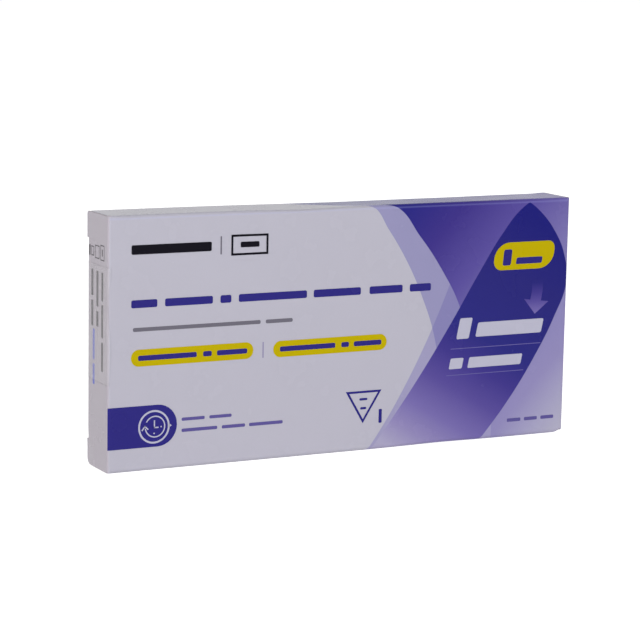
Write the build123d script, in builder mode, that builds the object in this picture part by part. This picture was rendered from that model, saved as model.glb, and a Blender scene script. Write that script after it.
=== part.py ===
from build123d import *
import os

# Folding carton of a single test kit, standing on one of its long narrow sides.
# It is folded from one blank of board: four panels round the contents, a glue flap inside
# the lower back edge, and at each end two dust flaps under a closure panel that tucks in.
# A clear film seal holds the closure of the left end shut.
# +Z is up, the front panel faces -Y, and the sealed end faces -X.
# The origin is in the plane that the carton stands on, in the middle of its footprint.

# Driving dimensions, in millimetres
length = 168.0
depth = 17.0
height = 81.0
board = 0.4
film = 0.08

# Outer radii of the folds: the four long creases, the closure panel's crease on the front
# panel, the dust flaps' creases and the rounded fold of the tuck flap
long_crease = 1.4
closure_crease = 0.9
dust_crease = 0.5
tuck_fold = 1.0

# Clearances: between two layers of board, between the closure panel's cut edges and the
# outside of the carton, between the tuck flap's and the outside, under the back panel's cut
# edge, and from the end to the place where the long creases stop
layer_gap = 0.1
closure_gap = 0.3
tuck_flap_gap = 1.0
seam_gap = 0.6
crease_stop = 1.1

# Flaps; the glued layers are pressed into each other by the glue flap's bite
glue_flap_reach = 12.0
glue_bite = 0.05
glue_flap_taper = 6.0
dust_flap_reach = 28.0
dust_flap_taper = 4.0
dust_flap_corner = 3.0
tuck_flap_reach = 15.0
tuck_flap_corner = 5.0
slit_lock = 8.4
closure_top_corner = 0.8
closure_low_corner = 2.2
back_panel_corner = 0.5

# Film seal: its height, its middle above the ground, how far it reaches round the front
# crease and along the back panel, its corners, its bend round the back panel's cut edge,
# and how far along the tuck fold it leaves the end
seal_height = 37.0
seal_middle = 46.5
seal_front_reach = 1.5
seal_back_reach = 18.5
seal_corner = 2.0
seal_bend = 0.2
seal_leave = 0.2

# Planes of the outer faces, and the depth of a board's middle line under its outer face
front = -depth / 2
back = depth / 2
end = -length / 2
mid = board / 2

# Where the sleeve gives way to the flaps, and the outer faces of the layers inside the back
# panel: the glue flap's and the tuck flap's
sleeve_end = end + crease_stop
glue_face = back - board + glue_bite
tuck_face = back - board - layer_gap


def folded_strip(plane, corners, radii, width, thickness=board):
    """A strip of sheet: its middle line runs through the corners, rounded to the radii."""
    with BuildSketch(plane) as section:
        with BuildLine():
            FilletPolyline(*corners, radius=radii)
        trace(line_width=thickness)
    extrude(section.sketch, amount=width)


def sleeve():
    """The back, top, front and bottom panels, from the left end to the middle of the carton."""
    corners = [
        (back - mid, seam_gap),
        (back - mid, height - mid),
        (front + mid, height - mid),
        (front + mid, mid),
        (0, mid),
    ]
    folded_strip(Plane.YZ.offset(sleeve_end), corners, long_crease - mid, -sleeve_end)


def glue_flap():
    """The flap folded up from the bottom panel, glued inside the back one, its end slanted."""
    corners = [(0, mid), (glue_face - mid, mid), (glue_face - mid, 2 * long_crease)]
    folded_strip(Plane.YZ.offset(sleeve_end), corners, long_crease - mid, -sleeve_end)
    with BuildSketch(Plane.XZ.offset(-glue_face)) as outline:
        with BuildLine():
            Polyline(
                (0, long_crease),
                (sleeve_end, long_crease),
                (sleeve_end + glue_flap_taper, glue_flap_reach),
                (0, glue_flap_reach),
                close=True,
            )
        make_face()
    extrude(outline.sketch, amount=board)


def back_panel_end():
    """The back panel runs on to a cut edge, round at its corners, inside the closure panel."""
    cut_edge = end + board + layer_gap
    with BuildSketch(Plane.XZ.offset(-back)) as outline:
        with BuildLine():
            Polyline(
                (sleeve_end, seam_gap),
                (cut_edge, seam_gap),
                (cut_edge, height - long_crease),
                (sleeve_end, height - long_crease),
                close=True,
            )
        make_face()
        fillet(outline.vertices().group_by(Axis.X)[0], back_panel_corner)
    extrude(outline.sketch, amount=board)


def dust_flap(panel, inward):
    """A dust flap on the top or bottom panel; inward is the way that it folds, along Z."""
    across = depth - 2 * long_crease
    face = end + board + layer_gap
    root = panel + inward * dust_crease
    tip = panel + inward * dust_flap_reach
    corners = [
        (sleeve_end, panel + inward * mid),
        (face + mid, panel + inward * mid),
        (face + mid, root + inward * dust_crease),
    ]
    folded_strip(Plane.XZ.offset(-across / 2), corners, dust_crease - mid, across)
    with BuildSketch(Plane.YZ.offset(face)) as outline:
        with BuildLine():
            Polyline(
                (-across / 2, root),
                (across / 2, root),
                (across / 2 - dust_flap_taper, tip),
                (-across / 2, tip),
                close=True,
            )
        make_face()
        tip_corners = outline.vertices().sort_by(Axis.Y, reverse=inward > 0)[:2]
        fillet(tip_corners, dust_flap_corner)
    extrude(outline.sketch, amount=board)


def closure_panel():
    """The panel over the end: it hinges on the front panel and tucks in behind the back one."""
    hinge = [(sleeve_end, front + mid), (end + mid, front + mid)]
    lock = slit_lock - closure_gap
    crease = closure_crease - mid
    for low in (closure_gap, height - slit_lock):
        corners = [*hinge, (end + mid, back)]
        folded_strip(Plane.XY.offset(low), corners, crease, lock)
    tucked = [*hinge, (end + mid, tuck_face - mid), (end + 2 * tuck_fold, tuck_face - mid)]
    between_slits = height - 2 * slit_lock
    folded_strip(Plane.XY.offset(slit_lock), tucked, [crease, tuck_fold - mid], between_slits)


def tuck_flap():
    """The flap that slides in behind the back panel, with its shoulders free of the slits."""
    high = height - tuck_flap_gap
    with BuildSketch(Plane.XZ.offset(-tuck_face)) as outline:
        with BuildLine():
            Polyline(
                (end + tuck_fold, tuck_flap_gap),
                (end + tuck_flap_reach, tuck_flap_gap),
                (end + tuck_flap_reach, high),
                (end + tuck_fold, high),
                close=True,
            )
        make_face()
        fillet(outline.vertices().group_by(Axis.X)[-1], tuck_flap_corner)
    extrude(outline.sketch, amount=board)


# Carton: the left half is folded up, and the right half is its mirror image
with BuildPart() as carton:
    sleeve()
    glue_flap()
    back_panel_end()
    dust_flap(panel=height, inward=-1)
    dust_flap(panel=0, inward=1)
    closure_panel()
    tuck_flap()
    rims = carton.edges().filter_by(Axis.X).filter_by_position(Axis.Y, back, back)
    closure_rims = rims.filter_by_position(Axis.X, end, end + board).sort_by(Axis.Z)
    fillet(closure_rims[0], closure_low_corner)
    fillet(closure_rims[-1], closure_top_corner)
    mirror(about=Plane.YZ)

# Film seal: from the front crease over the end and round the back panel's cut edge
with BuildPart() as seal_film:
    rim = end + board + layer_gap
    over_end = end - film / 2
    over_back = back + film / 2
    corners = [
        (end + seal_front_reach, front - film / 2),
        (over_end, front - film / 2),
        (over_end, tuck_face - tuck_fold + seal_leave),
        (rim - seal_bend, over_back),
        (end + seal_back_reach, over_back),
    ]
    radii = [closure_crease + film / 2, tuck_fold, seal_bend]
    lower_edge = Plane.XY.offset(seal_middle - seal_height / 2)
    folded_strip(lower_edge, corners, radii, seal_height, thickness=film)
    cut_corners = seal_film.edges().filter_by(Axis.Y).group_by(SortBy.LENGTH)[0].sort_by(Axis.X)
    fillet(cut_corners[:2], seal_front_reach / 2)
    fillet(cut_corners[2:], seal_corner)

os.makedirs("parts", exist_ok=True)
carton.part.label = "carton"
export_step(carton.part, "parts/carton.step")
seal_film.part.label = "seal_film"
export_step(seal_film.part, "parts/seal_film.step")
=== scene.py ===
import math

import bmesh
import bpy
from mathutils import Matrix, Vector


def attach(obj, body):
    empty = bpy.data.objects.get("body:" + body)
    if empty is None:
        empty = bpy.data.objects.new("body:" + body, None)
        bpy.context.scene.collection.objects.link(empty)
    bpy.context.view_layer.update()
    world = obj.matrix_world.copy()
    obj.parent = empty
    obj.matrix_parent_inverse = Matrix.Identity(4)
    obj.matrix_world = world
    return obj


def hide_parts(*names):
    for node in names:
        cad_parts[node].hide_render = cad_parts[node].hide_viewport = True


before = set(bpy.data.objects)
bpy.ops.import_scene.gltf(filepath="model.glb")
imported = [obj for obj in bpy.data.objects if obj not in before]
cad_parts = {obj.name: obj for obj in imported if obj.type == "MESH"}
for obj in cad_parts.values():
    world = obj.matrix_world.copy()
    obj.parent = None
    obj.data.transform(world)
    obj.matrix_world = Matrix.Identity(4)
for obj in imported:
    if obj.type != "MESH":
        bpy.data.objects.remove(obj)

# Looks of the carton. Lengths in this script are millimetres until a mesh is written.
# Print is placed by u, along the front panel from its left edge, and v, up the front
# panel from the ground, which runs on over the top panel and under the bottom one.

MM = 0.001
LENGTH, DEPTH, HEIGHT = 168.0, 17.0, 81.0
HALF, FRONT, BACK = LENGTH / 2, -DEPTH / 2, DEPTH / 2
BOARD = 0.4
LONG_CREASE, CLOSURE_CREASE = 1.4, 0.9
CREASE_STOP = 1.1
FILM_MIDDLE, FILM_HALF = 46.5, 18.5
FILM_FRONT_REACH, FILM_BACK_REACH = 1.5, 18.5

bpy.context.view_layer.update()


# Camera: the place that the photograph was taken from

def place_camera():
    azimuth, elevation, roll = (math.radians(a) for a in (-27.43, 9.31, 1.07))
    flat = math.cos(elevation)
    back = Vector((math.sin(azimuth) * flat, -math.cos(azimuth) * flat, math.sin(elevation)))
    level = Vector((math.cos(azimuth), math.sin(azimuth), 0))
    upright = back.cross(level)
    right = math.cos(roll) * level + math.sin(roll) * upright
    up = math.cos(roll) * upright - math.sin(roll) * level
    distance, to_left, to_top = 792.4, 4.47, 42.04
    place = (distance * back - to_left * right + to_top * up) * MM
    data = bpy.data.cameras.new("camera")
    data.sensor_width = 36
    data.lens = 134.92
    camera = bpy.data.objects.new("camera", data)
    turn = Matrix((right, up, back)).transposed().to_4x4()
    camera.matrix_world = Matrix.Translation(place) @ turn
    bpy.context.scene.collection.objects.link(camera)
    bpy.context.scene.camera = camera


place_camera()
bpy.context.scene.view_settings.view_transform = "Standard"


# Shader graphs

def linear(red, green, blue):
    """The linear values of a colour written as it looks, from 0 to 255."""
    parts = [c / 255 for c in (red, green, blue)]
    return [p / 12.92 if p <= 0.04045 else ((p + 0.055) / 1.055) ** 2.4 for p in parts]


def printed(red, green, blue):
    """The ink under a coat of varnish that is to look like this colour seen from in front."""
    return (*[max(0.0, c - 0.014) for c in linear(red, green, blue)], 1)


class Graph:
    """One material, with short ways to add nodes to it."""

    def __init__(self, name):
        self.material = bpy.data.materials.new(name)
        self.material.use_nodes = True
        self.nodes = self.material.node_tree.nodes
        self.links = self.material.node_tree.links
        self.shader = self.nodes["Principled BSDF"]

    def put(self, socket, value):
        if isinstance(value, bpy.types.NodeSocket):
            self.links.new(value, socket)
        else:
            socket.default_value = value

    def maths(self, operation, *values):
        node = self.nodes.new("ShaderNodeMath")
        node.operation = operation
        for socket, value in zip(node.inputs, values):
            self.put(socket, value)
        return node.outputs[0]

    def place(self):
        """x, y and z of the shaded point, in millimetres."""
        point = self.nodes.new("ShaderNodeTexCoord").outputs["Object"]
        split = self.nodes.new("ShaderNodeSeparateXYZ")
        self.links.new(point, split.inputs[0])
        return point, [self.maths("MULTIPLY", part, 1 / MM) for part in split.outputs]

    def past(self, value, edge, softness=0.12):
        """0 where value is under the edge and 1 past it, with a soft step between."""
        node = self.nodes.new("ShaderNodeMapRange")
        node.interpolation_type = "SMOOTHSTEP"
        self.put(node.inputs["Value"], self.maths("SUBTRACT", value, edge))
        self.put(node.inputs["From Min"], -softness)
        self.put(node.inputs["From Max"], softness)
        return node.outputs[0]

    def both(self, *masks):
        """1 only where every mask is 1."""
        result = masks[0]
        for mask in masks[1:]:
            result = self.maths("MULTIPLY", result, mask)
        return result

    def inverse(self, mask):
        return self.maths("SUBTRACT", 1.0, mask)

    def mix(self, share, under, over):
        """The colour under where share is 0, and over where it is 1."""
        node = self.nodes.new("ShaderNodeMix")
        node.data_type = "RGBA"
        self.put(node.inputs[0], share)
        self.put(node.inputs[6], under)
        self.put(node.inputs[7], over)
        return node.outputs[2]

    def mix_number(self, share, under, over):
        node = self.nodes.new("ShaderNodeMix")
        self.put(node.inputs[0], share)
        self.put(node.inputs[2], under)
        self.put(node.inputs[3], over)
        return node.outputs[0]

    def dim(self, colour, share):
        """The colour made darker in proportion, by a share from 0 to 1."""
        node = self.nodes.new("ShaderNodeHueSaturation")
        self.put(node.inputs["Value"], self.maths("SUBTRACT", 1.0, share))
        self.put(node.inputs["Color"], colour)
        return node.outputs[0]

    def line(self, value, low, high, softness):
        """1 where value is between low and high, with soft sides."""
        under = self.inverse(self.past(value, high, softness))
        return self.both(self.past(value, low, softness), under)

    def ramp(self, value, start, stop, colours):
        """A gradient: colours is a list of (value, colour)."""
        node = self.nodes.new("ShaderNodeValToRGB")
        scaled = self.maths("DIVIDE", self.maths("SUBTRACT", value, start), stop - start)
        self.put(node.inputs[0], scaled)
        elements = node.color_ramp.elements
        while len(elements) < len(colours):
            elements.new(0.5)
        for element, (at, colour) in zip(elements, colours):
            element.position = (at - start) / (stop - start)
            element.color = colour
        return node.outputs[0]

    def edge(self, v, places):
        """u of a printed edge at v: a smooth curve through (v, u) places."""
        node = self.nodes.new("ShaderNodeFloatCurve")
        scaled = self.maths("DIVIDE", self.maths("ADD", v, 20.0), 120.0)
        self.put(node.inputs["Value"], scaled)
        points = node.mapping.curves[0].points
        points[0].location = ((places[0][0] + 20) / 120, places[0][1] / 200)
        points[1].location = ((places[-1][0] + 20) / 120, places[-1][1] / 200)
        for at, u in places[1:-1]:
            points.new((at + 20) / 120, u / 200)
        node.mapping.update()
        return self.maths("MULTIPLY", node.outputs[0], 200.0)

    def noise(self, point, per_metre, detail=2.0):
        node = self.nodes.new("ShaderNodeTexNoise")
        self.put(node.inputs["Vector"], point)
        self.put(node.inputs["Scale"], per_metre)
        self.put(node.inputs["Detail"], detail)
        return node.outputs[0]

    def bump(self, height, strength, distance):
        node = self.nodes.new("ShaderNodeBump")
        self.put(node.inputs["Strength"], strength)
        self.put(node.inputs["Distance"], distance)
        self.put(node.inputs["Height"], height)
        return node.outputs[0]


# Edges of the printed fields, as (v, u) places
PALE_EDGE = [
    (-17, 118), (0, 117.5), (20, 118.9), (36, 116.5), (50, 111.4), (62, 105.4),
    (73, 98.2), (81, 91.9), (84, 83.5), (87.6, 79.5), (91, 74.5), (98, 64),
]
DARK_EDGE = [
    (-17, 129), (0, 129), (30, 130.8), (47, 125.4), (58, 119.1), (70, 110.2),
    (81, 99.7), (84, 86.5), (87.6, 81), (91, 76), (98, 66),
]
BAND_EDGE = [
    (-17, 78), (0, 91.9), (10, 99.1), (20, 105.3), (32, 111.9), (43, 117.2), (53.6, 121.8), (98, 140),
]
LEAF_LEFT = [
    (-17, 79), (0, 93.1), (10, 101.1), (24, 111.5), (40, 122.3),
    (58, 133.7), (70, 141.9), (78, 149.2), (82, 156), (98, 190),
]
LEAF_RIGHT = [
    (-17, 119), (0, 134.8), (13, 145.9), (28, 156.2), (40, 162.9), (52, 167.6),
    (62, 166.3), (70, 162.2), (76, 157.1), (80, 152), (98, 120),
]

# The film seal's edge on the front panel, as (v, u) places
FILM_EDGE = [
    (28, 0.4), (34.5, 0.7), (40.8, 0.75), (45.5, 0.4), (51.8, 0.15), (58, 0.35), (63.6, 0.9), (65, 0.8),
]


def film_shadow(graph, x, y, z, u):
    """How much darker the board is painted along the film seal's edges: a painted shadow of the film's
    edges on the board.
    """
    front_edge = graph.edge(z, FILM_EDGE)
    from_middle = graph.maths("ABSOLUTE", graph.maths("SUBTRACT", z, FILM_MIDDLE))
    beside = graph.inverse(graph.past(from_middle, FILM_HALF - 0.2, 0.3))
    on_front = graph.inverse(graph.past(y, FRONT + 1, 0.2))
    on_back = graph.past(y, BACK - 1, 0.2)
    reach = graph.mix_number(on_back, front_edge, FILM_BACK_REACH)
    across = graph.line(from_middle, FILM_HALF - 0.2, FILM_HALF + 0.3, 0.2)
    along = graph.line(graph.maths("SUBTRACT", u, reach), 0.0, 0.45, 0.2)
    sides = graph.both(across, graph.inverse(graph.past(u, reach, 0.2)))
    ends = graph.both(along, beside, graph.maths("ADD", on_front, on_back))
    shade = graph.maths("MULTIPLY", sides, 0.06)
    return graph.maths("MAXIMUM", shade, graph.maths("MULTIPLY", ends, 0.09))


def print_colour(graph, x, y, z):
    """The colour of the print over all of the carton's outer faces, with a painted highlight along the
    upper front crease and painted shadow along the film seal's edges.
    """
    u = graph.maths("ADD", x, HALF)
    fold = graph.maths("SIGN", graph.maths("SUBTRACT", z, HEIGHT / 2))
    v = graph.maths("ADD", z, graph.maths("MULTIPLY", fold, graph.maths("SUBTRACT", y, FRONT)))
    white = printed(188, 186, 199)
    pale = graph.past(u, graph.edge(v, PALE_EDGE))
    band = graph.past(u, graph.edge(v, BAND_EDGE))
    dark = graph.past(u, graph.edge(v, DARK_EDGE))
    leaf = graph.both(
        graph.past(u, graph.edge(v, LEAF_LEFT)),
        graph.inverse(graph.past(u, graph.edge(v, LEAF_RIGHT))),
    )
    bare = graph.mix(pale, white, printed(152, 149, 187))
    crossed = graph.mix(pale, printed(161, 157, 191), printed(136, 132, 180))
    violet = graph.ramp(graph.maths("SUBTRACT", u, v), 0, 180, [
        (0, printed(46, 44, 127)), (28, printed(48, 45, 128)), (48, printed(66, 55, 135)),
        (72, printed(92, 81, 156)), (97, printed(123, 115, 174)), (120, printed(142, 136, 186)),
        (138, printed(149, 142, 188)), (152, printed(168, 164, 196)), (163, printed(179, 176, 198)),
    ])
    along = graph.maths("ADD", graph.maths("MULTIPLY", u, 0.5), graph.maths("MULTIPLY", v, 0.87))
    deep = graph.ramp(along, 40, 150, [
        (51, printed(172, 167, 196)), (58.5, printed(149, 140, 186)), (67, printed(122, 111, 173)),
        (78, printed(92, 80, 153)), (88, printed(68, 59, 138)), (98, printed(49, 48, 126)),
        (120, printed(46, 44, 120)), (142, printed(36, 36, 118)),
    ])
    colour = graph.mix(band, bare, crossed)
    colour = graph.mix(dark, colour, violet)
    patch = graph.both(
        graph.past(u, graph.edge(v, LEAF_RIGHT)),
        graph.inverse(graph.past(u, 139.4)),
        graph.inverse(graph.past(v, 20.0)),
    )
    colour = graph.mix(patch, colour, printed(161, 156, 193))
    colour = graph.mix(leaf, colour, deep)
    # Painted highlight: a thin pale blue line on the lower part of the upper front crease, where the
    # lamp's reflection falls
    crease_highlight = graph.both(graph.line(v, 79.8, 80.3, 0.4), graph.inverse(graph.past(y, FRONT + 1)))
    wear_and_highlight = graph.maths("MULTIPLY", crease_highlight, 0.16)
    colour = graph.mix(wear_and_highlight, colour, printed(185, 190, 250))
    wrapped = graph.both(
        graph.inverse(graph.past(y, BACK - 0.5)),
        graph.past(x, 0.5 - HALF),
        graph.inverse(graph.past(x, HALF - 0.2)),
    )
    end_white = graph.mix(graph.past(x, 0.8 - HALF, 0.4), printed(182, 176, 187), white)
    # Painted shadow: the print is darkened along the film seal's edges by film_shadow
    return graph.dim(graph.mix(wrapped, end_white, colour), film_shadow(graph, x, y, z, u))


def finish_print(graph, point, colour, sheen=0.15):
    """Varnished print on board: a mottled colour, a satin sheen and the board's fine grain."""
    mottle = graph.noise(point, 90.0, 3.0)
    grain = graph.noise(point, 1500.0, 2.0)
    shade = graph.maths("MULTIPLY", graph.maths("ADD", mottle, grain), 0.03)
    graph.put(graph.shader.inputs["Base Color"], graph.dim(colour, shade))
    roughness = graph.maths("ADD", 0.2, graph.maths("MULTIPLY", mottle, 0.12))
    graph.put(graph.shader.inputs["Roughness"], roughness)
    graph.shader.inputs["Specular IOR Level"].default_value = sheen
    graph.put(graph.shader.inputs["Normal"], graph.bump(grain, 0.12, 0.00003))


def print_material():
    graph = Graph("printed_board")
    point, (x, y, z) = graph.place()
    colour = print_colour(graph, x, y, z)
    finish_print(graph, point, colour)
    return graph.material


def board_material():
    graph = Graph("raw_board")
    point, _ = graph.place()
    fibre = graph.noise(point, 2500.0, 4.0)
    patch = graph.noise(point, 250.0, 2.0)
    share = graph.mix_number(0.3, fibre, patch)
    colour = graph.ramp(share, 0, 1, [
        (0.3, (*linear(128, 118, 116), 1)),
        (0.5, (*linear(158, 149, 149), 1)),
        (0.7, (*linear(182, 175, 178), 1)),
    ])
    roughness = graph.maths("ADD", 0.82, graph.maths("MULTIPLY", patch, 0.12))
    graph.put(graph.shader.inputs["Base Color"], colour)
    graph.put(graph.shader.inputs["Roughness"], roughness)
    graph.shader.inputs["Specular IOR Level"].default_value = 0.2
    graph.put(graph.shader.inputs["Normal"], graph.bump(fibre, 0.5, 0.00005))
    return graph.material


# Carton

def ease(value, low, high):
    """0 up to low, 1 from high on, with a smooth rise between."""
    share = min(1.0, max(0.0, (value - low) / (high - low)))
    return share * share * (3 - 2 * share)


def soften(point):
    """Where folding and handling have moved a point to, by less than a millimetre."""
    x, y, z = point
    from_end = HALF - abs(x)

    # The upper front crease is crisper near the ends, and the closure's upper edge stands up
    out, up = FRONT + LONG_CREASE - y, z - (HEIGHT - LONG_CREASE)
    on_crease = out > 0 and up > 0 and math.hypot(out, up) < LONG_CREASE + 0.1
    crisp = 0.6 * (1 - ease(from_end, 1, 6))
    if crisp and on_crease and from_end > CREASE_STOP - 0.05:
        reach = 1 + crisp * (math.hypot(out, up) / max(out, up) - 1)
        y, z = FRONT + LONG_CREASE - out * reach, HEIGHT - LONG_CREASE + up * reach
    elif from_end < CREASE_STOP + 0.05 and out > LONG_CREASE / 2 and up > 0:
        z += 0.2 * up
    elif from_end < BOARD + 0.05:
        z += 0.2 * ease(z, 80, 80.7)

    # The lower slit lock is pressed in, the top panel sags, the lower front crease is lifted,
    # and the lower right corner is worn round
    to_back = ease(y, FRONT, BACK)
    lock = 0.22 * ease(y, 3, 8) * (1 - ease(z, 8.2, 8.7)) * (1 - ease(from_end, 0.5, 3))
    front_sag = 0.05 + 0.45 * math.exp(-((x + 17) / 14) ** 2)
    back_sag = 0.4 * math.exp(-((x - 8) / 38) ** 2) + 0.2 * ease(x, 20, 50)
    sag = front_sag * (1 - to_back) + back_sag * to_back
    lift = 0.25 * math.exp(-((x - 36) / 14) ** 2) * (1 - to_back)
    corner = math.hypot(from_end, z) if x > 0 else 9.0
    wear_and_highlight = 0.9 * (1 - ease(corner, 0, 3)) * (1 - to_back)
    z_sag = sag * ease(from_end, 0.8, 6) * ease(z, 66, HEIGHT)
    return Vector((x - math.copysign(lock, x), y, z - z_sag + lift * (1 - ease(z, 0, 5)) + wear_and_highlight))


def cut_along(mesh, axis, places):
    """Cuts the mesh's faces along planes across one axis."""
    normal = [0.0, 0.0, 0.0]
    normal[axis] = 1.0
    for place in places:
        spot = [0.0, 0.0, 0.0]
        spot[axis] = place * MM
        everything = mesh.verts[:] + mesh.edges[:] + mesh.faces[:]
        bmesh.ops.bisect_plane(mesh, geom=everything, dist=1e-7, plane_co=spot, plane_no=normal)


def steps(low, high, count):
    """Evenly spaced places from low to high, both included."""
    return [low + (high - low) * i / count for i in range(count + 1)]


def grid_cuts():
    """Cuts for the carton, closer together at the creases."""
    near_ends = [s * (HALF - d) for s in (-1, 1) for d in (1.6, 2.4, 3.4, 5.0, 8.0)]
    long_way = steps(-70, 70, 28) + near_ends
    up = steps(6, 75, 12) + [1.8, 2.6, 3.8, HEIGHT - 3.8, HEIGHT - 2.6, HEIGHT - 1.8]
    across = [-6.7, -4.5, -2.0, 0.5, 3.0, 5.0, 6.7]
    return (long_way, across, up)


def is_printed(face):
    """Whether a face of the folded blank is its printed side, rather than inside or a cut edge."""
    x, y, z = face.calc_center_median() / MM
    n = face.normal
    if abs(n.y) > 0.99:
        on_back = y > BACK - 0.05 and n.y > 0 and abs(x) < HALF - BOARD - 0.05
        return (y < FRONT + 0.05 and n.y < 0) or on_back
    if abs(n.x) > 0.99:
        return abs(x) > HALF - 0.05
    if abs(n.z) > 0.99:
        return z > HEIGHT - 0.05 or z < 0.05
    if abs(x) > HALF - BOARD and abs(n.x) < 0.05:
        return False
    if abs(n.y) < 0.05 and y > BACK - BOARD - 0.05:
        return False
    middle = Vector((0, 0, HEIGHT / 2))
    out = Vector((x, y, z)) - middle
    return n.x * out.x * 0.1 + n.y * out.y + n.z * out.z * 0.2 > 0


def folded_blank():
    """The carton's mesh, cut fine enough to sag."""
    mesh = bmesh.new()
    mesh.from_mesh(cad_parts["carton"].data)
    bmesh.ops.remove_doubles(mesh, verts=mesh.verts, dist=1e-6)
    bmesh.ops.dissolve_limit(mesh, angle_limit=math.radians(1), verts=mesh.verts, edges=mesh.edges)
    for axis, places in enumerate(grid_cuts()):
        cut_along(mesh, axis, places)
    mesh.normal_update()
    return mesh


def add_piece(name, mesh, material, *stands_for):
    """A mesh as an object that rides the carton's one body."""
    data = bpy.data.meshes.new(name)
    mesh.to_mesh(data)
    mesh.free()
    data.materials.clear()
    data.materials.append(material)
    piece = bpy.data.objects.new(name, data)
    bpy.context.scene.collection.objects.link(piece)
    data.shade_smooth()
    data.set_sharp_from_angle(angle=math.radians(35))
    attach(piece, "root")
    if stands_for:
        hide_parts(*stands_for)
    return piece


def add_carton():
    """The carton as two pieces: its printed side, and the bare board of its inside and edges."""
    for name, wants_print, material in (
        ("carton_print", True, print_material()),
        ("carton_board", False, board_material()),
    ):
        mesh = folded_blank()
        others = [face for face in mesh.faces if is_printed(face) != wants_print]
        bmesh.ops.delete(mesh, geom=others, context="FACES")
        for vertex in mesh.verts:
            vertex.co = soften(vertex.co / MM) * MM
        piece = add_piece(name, mesh, material, "carton")


add_carton()


# Small printed shapes, each a closed line of (u, v) places, anticlockwise

def arc(u, v, radius, start, stop, count=12):
    """Points on a circle from one angle to another, in degrees from +u towards +v."""
    turns = [math.radians(start + (stop - start) * i / count) for i in range(count + 1)]
    return [(u + radius * math.cos(t), v + radius * math.sin(t)) for t in turns]


def rounded(left, low, right, high, radii, slant=0.0):
    """A rectangle with round corners, from the lower left one on; slant leans it to the right."""
    if isinstance(radii, (int, float)):
        radii = (radii,) * 4
    corners = (
        (left, low, 1, 1, 180),
        (right, low, -1, 1, 270),
        (right, high, -1, -1, 0),
        (left, high, 1, -1, 90),
    )
    line = []
    for radius, (u, v, inward_u, inward_v, start) in zip(radii, corners):
        line += arc(u + inward_u * radius, v + inward_v * radius, radius, start, start + 90, 8)
    return [(u + slant * (v - low), v) for u, v in line]


def bars(low, high, spans, radius=0.5, slant=0.0):
    """Rounded bars of one height, one for each span of u."""
    return [rounded(left, low, right, high, radius, slant) for left, right in spans]


def ribbon(outer, inner, closed):
    """Four-sided shapes between two lines of as many points."""
    last = len(outer) if closed else len(outer) - 1
    count = len(outer)
    return [[outer[i], outer[(i + 1) % count], inner[(i + 1) % count], inner[i]] for i in range(last)]


def ring(u, v, outer, inner, start=0, stop=360):
    """Four-sided shapes round a ring, or round the part of it between two angles in degrees."""
    count = 64 if stop - start >= 360 else 48
    return ribbon(arc(u, v, outer, start, stop, count), arc(u, v, inner, start, stop, count), False)


def stroke(start, stop, width):
    """A straight line of that width with square ends."""
    along = Vector(stop) - Vector(start)
    side = Vector((along.y, -along.x)).normalized() * width / 2
    a, b = Vector(start), Vector(stop)
    return [tuple(a + side), tuple(b + side), tuple(b - side), tuple(a - side)]


def outline(corners, width):
    """A closed line of that width, drawn inside the corners' shape."""
    centre = sum((Vector(c) for c in corners), Vector((0, 0))) / len(corners)
    inner = []
    for i, corner in enumerate(corners):
        before = (Vector(corners[i - 1]) - Vector(corner)).normalized()
        after = (Vector(corners[(i + 1) % len(corners)]) - Vector(corner)).normalized()
        half_angle = before.angle(after) / 2
        inward = (before + after).normalized()
        if inward.dot(centre - Vector(corner)) < 0:
            inward = -inward
        inner.append(tuple(Vector(corner) + inward * width / math.sin(half_angle)))
    return ribbon(list(corners), inner, True)


def clock():
    """A timer: a ring with a small pointer, a turning arrow, two hands and two marks."""
    u, v = 15.75, 14.0
    cu, cv = 16.1, 14.05
    shapes = ring(u, v, 5.35, 4.75)
    shapes.append([(u + 5.2, v - 0.55), (u + 6.1, v + 0.05), (u + 5.2, v + 0.65)])
    shapes += ring(cu, cv, 3.5, 3.1, -172, 152)
    tip = (cu - 3.45, cv + 0.35)
    shapes.append(stroke((tip[0] - 1.0, tip[1] - 1.4), (tip[0] + 0.15, tip[1] + 0.1), 0.42))
    shapes.append(stroke((tip[0] - 0.15, tip[1] + 0.1), (tip[0] + 1.15, tip[1] - 1.15), 0.42))
    shapes.append(stroke((cu - 0.2, cv + 2.0), (cu - 0.2, cv - 0.45), 0.4))
    shapes.append(stroke((cu - 0.4, cv - 0.3), (cu + 1.2, cv - 0.3), 0.4))
    shapes.append(arc(cu + 2.1, cv - 0.15, 0.25, 0, 330, 11))
    shapes.append(arc(cu - 0.3, cv - 2.15, 0.25, 0, 330, 11))
    return shapes


def down_arrow():
    """A broad stem and a head that points down."""
    stem = [(157.6, 46.3), (158.2, 49.5), (158.3, 53.4), (154.0, 53.4), (153.9, 49.5), (153.4, 46.8)]
    head = [(155.35, 41.9), (160.6, 45.9), (157.6, 46.3), (153.4, 46.8), (150.9, 47.2)]
    return [stem, head]


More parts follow.
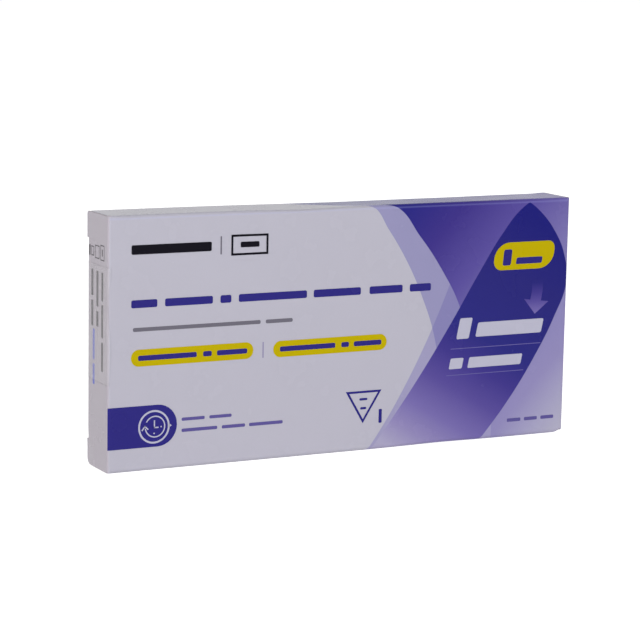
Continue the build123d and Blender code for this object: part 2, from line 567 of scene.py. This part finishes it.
# Plain bars in the places of words, and the other small shapes
TITLE_WORDS = [
    (7.8, 16.6), (19.2, 35.6), (38.2, 42.0), (44.6, 68.8), (71.2, 88.4), (91.6, 103.9), (106.6, 114.6),
]
BLACK_SHAPES = [
    *bars(68.7, 71.7, [(7.8, 35.0)]),
    *outline([(41.75, 66.9), (54.75, 66.9), (54.75, 73.6), (41.75, 73.6)], 0.72),
    *bars(69.4, 71.2, [(45.0, 51.6)], 0.4),
]
GREY_SHAPES = [
    *bars(44.55, 45.8, [(8.4, 52.4), (54.2, 63.8)], 0.5),
    stroke((38.25, 67.5), (38.25, 73.25), 0.5),
]
NAVY_SHAPES = [
    *bars(52.0, 54.5, TITLE_WORDS, 0.6),
    rounded(0.1, 7.6, 23.6, 21.0, (0, 6.65, 6.65, 0)),
    *outline([(83.6, 20.1), (90.1, 9.25), (96.9, 20.1)], 0.75),
    *bars(13.9, 14.7, [(89.1, 91.3)], 0.35),
    *bars(16.9, 17.7, [(88.7, 91.7)], 0.35),
    *bars(8.9, 13.6, [(96.0, 97.2)], 0.4),
]
SMALL_NAVY_SHAPES = [
    *bars(15.15, 16.2, [(25.2, 33.2), (34.8, 42.6)], 0.4),
    *bars(11.55, 12.65, [(25.2, 37.6), (39.2, 47.4), (48.8, 60.8)], 0.4),
    *bars(5.3, 6.5, [(145.6, 151.0), (152.4, 157.6), (159.0, 164.2)], 0.4),
]
YELLOW_SHAPES = [
    rounded(7.8, 33.5, 49.95, 38.9, 2.65),
    rounded(57.0, 33.3, 98.4, 38.6, 2.6),
    rounded(138.6, 57.35, 162.4, 66.65, (3.0, 6.2, 2.4, 6.2)),
]
ON_YELLOW_SHAPES = [
    *bars(35.3, 36.95, [(10.2, 30.2), (32.4, 35.4), (37.2, 47.8)], 0.5),
    *bars(35.1, 36.75, [(59.4, 79.4), (81.6, 84.4), (86.2, 96.4)], 0.5),
    *bars(58.9, 64.3, [(142.0, 145.2)], 0.7, 0.1),
    *bars(59.2, 61.4, [(147.2, 157.4)], 0.5, 0.15),
]
PALE_SHAPES = [
    *bars(35.4, 40.2, [(132.2, 158.0)], 0.6, 0.2),
    *bars(35.0, 42.0, [(124.8, 129.6)], 0.6, 0.2),
    *bars(25.0, 28.6, [(122.2, 127.2), (129.4, 150.2)], 0.5, 0.2),
    *clock(),
]
LINE_SHAPES = [
    stroke((122.8, 31.8), (158.0, 31.8), 0.26),
    stroke((121.3, 22.9), (151.5, 22.9), 0.26),
]
DIVIDER_SHAPES = [stroke((53.4, 33.5), (53.4, 38.6), 0.45)]
# On the left end: the printed bars as (near side, far side, spans up the end), with the sides
# measured from the end's middle towards the back, and the frames as their four sides
CODE_BARS = [
    (3.3, 5.0, [(45.2, 53.4), (54.8, 63.2)]),
    (-0.9, 0.8, [(45.5, 50.4), (51.8, 63.1)]),
    (-4.8, -3.3, [(31.8, 41.0), (42.4, 52.8), (54.0, 63.0)]),
    (5.7, 7.0, [(67.2, 70.6)]),
    (-4.3, -3.6, [(67.9, 70.2)]),
]
BLUE_BARS = [(2.1, 3.7, [(26.8, 33.4), (34.6, 44.4)])]
MARK_FRAMES = [(2.9, 5.1, 67.3, 70.4), (-1.6, 2.0, 66.8, 71.0), (-5.6, -2.4, 66.6, 71.5)]


def on_front(u, v, lift):
    """The point lift off the front panel at (u, v). Near the left edge the panel bends away."""
    crease = CLOSURE_CREASE
    if u >= crease:
        return Vector((u - HALF, FRONT - lift, v))
    turn = (crease - u) / crease
    radius = crease + lift
    across = crease - HALF - radius * math.sin(turn)
    return Vector((across, FRONT + crease - radius * math.cos(turn), v))


def on_left_end(u, v, lift):
    """The point lift off the left end, where u is the place across it, towards the back."""
    return Vector((-HALF - lift, -u, v))


def end_bars(columns):
    """Bars that stand in columns on the left end."""
    shapes = []
    for near, far, spans in columns:
        shapes += [rounded(-far, low, -near, high, 0.35) for low, high in spans]
    return shapes


def mark_frames():
    """The outlines of the small frames on the left end."""
    shapes = []
    for near, far, low, high in MARK_FRAMES:
        shapes += outline([(-far, low), (-near, low), (-near, high), (-far, high)], 0.35)
    return shapes


def add_print(name, shapes, material, lift, panel=on_front):
    """The shapes as one thin piece that lies on a panel."""
    mesh = bmesh.new()
    for shape in shapes:
        mesh.faces.new([mesh.verts.new((u * MM, 0, v * MM)) for u, v in shape])
    bmesh.ops.remove_doubles(mesh, verts=mesh.verts, dist=1e-6)
    if panel is on_front:
        cut_along(mesh, 0, [0.2, 0.4, 0.65, 0.9, 3.0] + steps(6, 162, 26))
    bmesh.ops.triangulate(mesh, faces=mesh.faces[:])
    for vertex in mesh.verts:
        vertex.co = soften(panel(vertex.co.x / MM, vertex.co.z / MM, lift)) * MM
    piece = add_piece(name, mesh, material)


def ink_material(name, colour, sheen=0.15):
    graph = Graph(name)
    point, _ = graph.place()
    finish_print(graph, point, colour, sheen)
    return graph.material


def arrow_material():
    graph = Graph("arrow_ink")
    point, (_, _, z) = graph.place()
    colour = graph.ramp(z, 40, 55, [
        (42, printed(122, 111, 174)), (46, printed(92, 81, 154)), (49, printed(71, 62, 139)),
        (52.6, printed(46, 44, 121)),
    ])
    finish_print(graph, point, colour)
    return graph.material


navy = ink_material("navy_ink", printed(50, 46, 124))
add_print("navy_print", NAVY_SHAPES, navy, 0.03)
add_print("navy_on_yellow", ON_YELLOW_SHAPES, navy, 0.045)
add_print("small_print", SMALL_NAVY_SHAPES, ink_material("thin_navy_ink", printed(96, 88, 149)), 0.03)
add_print("black_print", BLACK_SHAPES, ink_material("black_ink", printed(36, 35, 40), 0.06), 0.03)
add_print("grey_print", GREY_SHAPES, ink_material("grey_ink", printed(112, 109, 121)), 0.03)
add_print("yellow_print", YELLOW_SHAPES, ink_material("yellow_ink", printed(192, 173, 30), 0.06), 0.03)
add_print("pale_print", PALE_SHAPES, ink_material("pale_ink", printed(188, 187, 205)), 0.045)
add_print("line_print", LINE_SHAPES, ink_material("line_ink", printed(104, 98, 160)), 0.03)
add_print("divider_print", DIVIDER_SHAPES, ink_material("divider_ink", printed(148, 142, 176)), 0.03)
add_print("arrow_print", down_arrow(), arrow_material(), 0.03)
code_ink = ink_material("code_ink", printed(74, 70, 78))
blue_ink = ink_material("blue_ink", printed(108, 115, 198))
add_print("code_print", end_bars(CODE_BARS) + mark_frames(), code_ink, 0.012, on_left_end)
add_print("blue_print", end_bars(BLUE_BARS), blue_ink, 0.012, on_left_end)


# Film seal over the left end

def film_material():
    graph = Graph("clear_film")
    point, (_, _, z) = graph.place()
    from_middle = graph.maths("ABSOLUTE", graph.maths("SUBTRACT", z, FILM_MIDDLE))
    rim = graph.past(from_middle, FILM_HALF - 0.3, 0.15)
    smear = graph.noise(point, 300.0, 3.0)
    colour = graph.mix(rim, (0.83, 0.82, 0.85, 1), (0.42, 0.40, 0.42, 1))
    graph.put(graph.shader.inputs["Base Color"], colour)
    roughness = graph.maths("ADD", 0.1, graph.maths("MULTIPLY", smear, 0.12))
    graph.put(graph.shader.inputs["Roughness"], roughness)
    graph.put(graph.shader.inputs["Normal"], graph.bump(smear, 0.1, 0.0001))
    graph.shader.inputs["Alpha"].default_value = 0.08
    return graph.material


def along_places(v, places):
    """u at v, on straight runs between (v, u) places, eased at each."""
    for (low, start), (high, stop) in zip(places, places[1:]):
        if v <= high:
            return start + (stop - start) * ease(v, low, high)
    return places[-1][1]


def to_film_edge(point):
    """Moves a point of the film on the front, so that its strip there ends at the wavy edge."""
    crease, start = CLOSURE_CREASE, CLOSURE_CREASE * (1 - math.pi / 2)
    x, y, z = point
    across, out = x + HALF - crease, FRONT + crease - y
    if out < 0:
        return point
    if across < 0:
        lift = math.hypot(across, out) - crease
        u = crease - crease * math.atan2(-across, out)
    else:
        lift = out - crease
        u = x + HALF
    share = (u - start) / (FILM_FRONT_REACH - start)
    return on_front(start + (along_places(z, FILM_EDGE) - start) * share, z, lift)


def add_film():
    """The film's mesh, lifted off the board's face and cut fine enough to follow it."""
    mesh = bmesh.new()
    mesh.from_mesh(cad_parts["seal_film"].data)
    bmesh.ops.remove_doubles(mesh, verts=mesh.verts, dist=1e-6)
    bmesh.ops.dissolve_limit(mesh, angle_limit=math.radians(1), verts=mesh.verts, edges=mesh.edges)
    cut_along(mesh, 0, steps(-82, -66, 8))
    cut_along(mesh, 1, steps(-6, 6, 6))
    cut_along(mesh, 2, steps(30, 63, 22))
    mesh.normal_update()
    clear = {}
    for face in mesh.faces:
        x, y, _ = face.calc_center_median() / MM
        n = face.normal
        out = n.x * (x + 60) + n.y * y
        if out < 0 and abs(n.z) < 0.5 and not (n.x > 0.5 and x > 1.2 - HALF):
            for vertex in face.verts:
                clear[vertex] = clear.get(vertex, Vector((0, 0, 0))) - n
    for vertex, way in clear.items():
        vertex.co += way.normalized() * 0.03 * MM
    for vertex in mesh.verts:
        vertex.co = soften(to_film_edge(vertex.co / MM)) * MM
    piece = add_piece("seal_film_clear", mesh, film_material(), "seal_film")


add_film()


# Floor, backdrop and lights

def add_floor():
    """A pale matt floor that looks white to the camera and keeps the carton's shadow."""
    mesh = bmesh.new()
    bmesh.ops.create_circle(mesh, cap_ends=True, segments=96, radius=6.0)
    data = bpy.data.meshes.new("floor")
    mesh.to_mesh(data)
    mesh.free()
    floor = bpy.data.objects.new("floor", data)
    bpy.context.scene.collection.objects.link(floor)
    graph = Graph("floor")
    graph.nodes.remove(graph.shader)
    matt = graph.nodes.new("ShaderNodeBsdfDiffuse")
    matt.inputs["Color"].default_value = (0.8, 0.8, 0.8, 1)
    glow = graph.nodes.new("ShaderNodeEmission")
    path = graph.nodes.new("ShaderNodeLightPath")
    seen = graph.maths("ADD", path.outputs["Is Camera Ray"], path.outputs["Is Glossy Ray"])
    seen = graph.maths("ADD", seen, path.outputs["Is Transmission Ray"])
    graph.put(glow.inputs["Strength"], graph.maths("MULTIPLY", seen, 0.84))
    both = graph.nodes.new("ShaderNodeAddShader")
    graph.put(both.inputs[0], matt.outputs[0])
    graph.put(both.inputs[1], glow.outputs[0])
    graph.put(graph.nodes["Material Output"].inputs["Surface"], both.outputs[0])
    data.materials.append(graph.material)


def add_backdrop():
    """A world that looks white, and lights the carton by a fifth of that."""
    world = bpy.data.worlds.new("studio")
    bpy.context.scene.world = world
    world.use_nodes = True
    nodes, links = world.node_tree.nodes, world.node_tree.links
    shown = nodes.new("ShaderNodeLightPath")
    total = nodes.new("ShaderNodeMath")
    total.operation = "ADD"
    links.new(shown.outputs["Is Camera Ray"], total.inputs[0])
    links.new(shown.outputs["Is Glossy Ray"], total.inputs[1])
    more = nodes.new("ShaderNodeMath")
    more.operation = "ADD"
    links.new(total.outputs[0], more.inputs[0])
    links.new(shown.outputs["Is Transmission Ray"], more.inputs[1])
    strength = nodes.new("ShaderNodeMapRange")
    strength.inputs["To Min"].default_value = 0.2
    strength.inputs["To Max"].default_value = 1.0
    links.new(more.outputs[0], strength.inputs["Value"])
    links.new(strength.outputs[0], nodes["Background"].inputs["Strength"])
    nodes["Background"].inputs["Color"].default_value = (1, 1, 1, 1)


def add_lamp(name, place, size, power, colour=(1, 1, 1)):
    """A square soft lamp at a place in metres, aimed at the carton's middle."""
    data = bpy.data.lights.new(name, "AREA")
    data.shape = "SQUARE"
    data.size = size
    data.energy = power
    data.color = colour
    lamp = bpy.data.objects.new(name, data)
    lamp.location = place
    aim = Vector((0, 0, 0.04)) - Vector(place)
    lamp.rotation_euler = aim.to_track_quat("-Z", "Y").to_euler()
    bpy.context.scene.collection.objects.link(lamp)


add_floor()
add_backdrop()
add_lamp("front_lamp", (-0.15, -1.7, 0.55), 1.2, 22.0)
add_lamp("side_lamp", (-1.3, -0.25, 0.5), 0.9, 9.6, (1.0, 0.98, 0.95))
add_lamp("back_lamp", (1.35, 0.6, 0.45), 0.8, 5.0)
